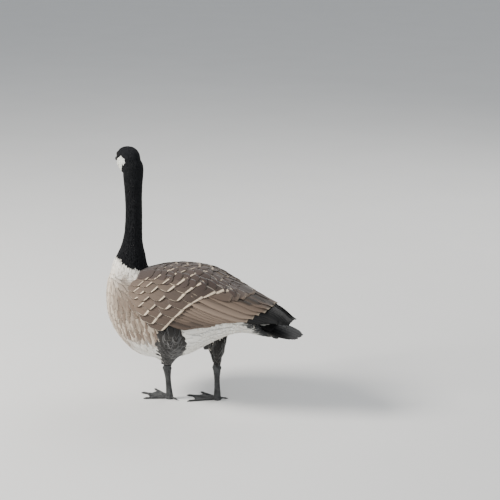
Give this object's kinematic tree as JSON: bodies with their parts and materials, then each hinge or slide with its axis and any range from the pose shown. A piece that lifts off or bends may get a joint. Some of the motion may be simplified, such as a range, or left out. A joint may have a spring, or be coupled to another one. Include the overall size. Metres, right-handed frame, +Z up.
{
  "type": "canada goose, still model",
  "caption": "Life-size Canada goose standing in mid-step with its neck upright and its head turned to its right.",
  "frame": {"origin": "on the floor under the middle of the bird's bounding box", "axes": "+Z up, the breast faces -X, the bird's left side faces -Y"},
  "size_m": [0.5839, 0.26, 0.7082],
  "materials": {
    "black_plumage": "soft black feathers with a faint sheen",
    "pale_plumage": "cream breast feathers with brownish streaks, white belly",
    "brown_plumage": "grey-brown feathers with cream edges",
    "flight_feather": "smooth black quills",
    "white_plumage": "soft white feathers",
    "horn": "satin black horn",
    "leg_skin": "dark scaly skin",
    "eye": "wet dark brown eye"
  },
  "bodies": {
    "root": {"torso": "pale_plumage", "neck": "black_plumage", "head": "black_plumage", "bill_upper": "horn", "bill_lower": "horn", "tail": "flight_feather", "eye_left": "eye", "wing_left": "brown_plumage", "thigh_left": "brown_plumage", "shank_left": "leg_skin", "foot_left": "leg_skin", "claw_left_inner": "horn", "claw_left_middle": "horn", "claw_left_outer": "horn", "claw_left_hind": "horn", "eye_right": "eye", "wing_right": "brown_plumage", "thigh_right": "brown_plumage", "shank_right": "leg_skin", "foot_right": "leg_skin", "claw_right_inner": "horn", "claw_right_middle": "horn", "claw_right_outer": "horn", "claw_right_hind": "horn"}
  },
  "joints": []
}
